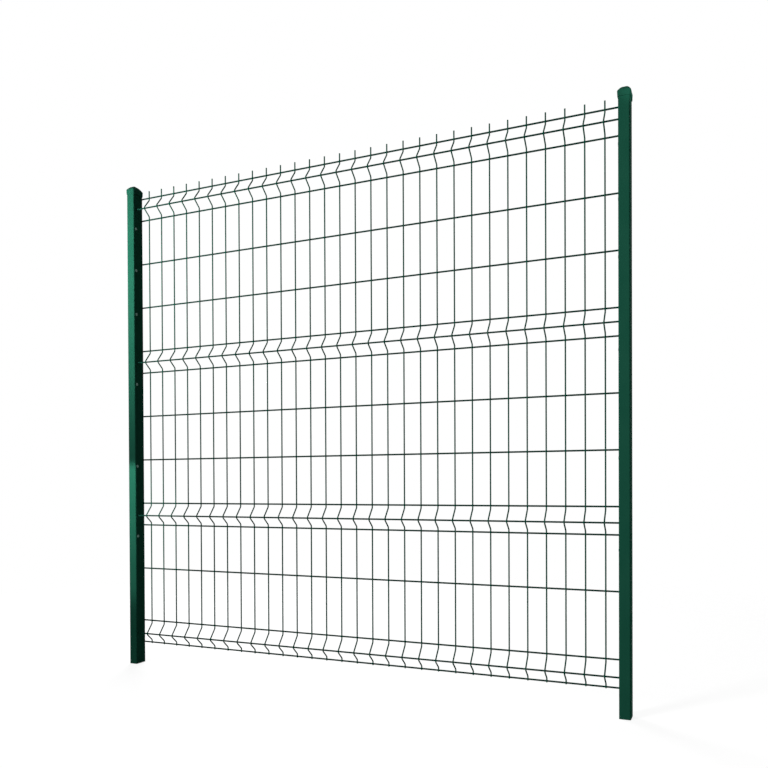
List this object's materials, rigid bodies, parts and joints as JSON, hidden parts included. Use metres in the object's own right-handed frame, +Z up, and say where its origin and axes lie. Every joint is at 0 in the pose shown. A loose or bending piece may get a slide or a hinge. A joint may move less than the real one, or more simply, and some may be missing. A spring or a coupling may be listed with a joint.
{
  "type": "welded mesh fence panel with two posts",
  "caption": "One fence bay: a green welded wire panel stiffened by V folds, held between two capped rectangular steel posts.",
  "frame": {"origin": "centre of the left post's foot end face", "axes": "+X along the fence from the left post to the right post, +Y away from the side the folds stand out of, +Z up"},
  "size_m": [2.2164, 0.0664, 2.1897],
  "materials": {
    "post_coat": "satin polyester powder coat over galvanised steel",
    "wire_coat": "satin polyester powder coat over galvanised wire",
    "cap_plastic": "fine moulded grain",
    "insert_zinc": "dull zinc plated"
  },
  "bodies": {
    "root": {"left_post": "post_coat", "right_post": "post_coat", "left_cap": "cap_plastic", "right_cap": "cap_plastic", "top_fold": "wire_coat", "upper_field": "wire_coat", "second_fold": "wire_coat", "middle_field": "wire_coat", "third_fold": "wire_coat", "lower_field": "wire_coat", "bottom_fold": "wire_coat", "left_insert_1": "insert_zinc", "left_insert_2": "insert_zinc", "left_insert_3": "insert_zinc", "left_insert_4": "insert_zinc", "left_insert_5": "insert_zinc", "left_insert_6": "insert_zinc", "right_insert_1": "insert_zinc", "right_insert_2": "insert_zinc", "right_insert_3": "insert_zinc", "right_insert_4": "insert_zinc", "right_insert_5": "insert_zinc", "right_insert_6": "insert_zinc"}
  },
  "joints": []
}
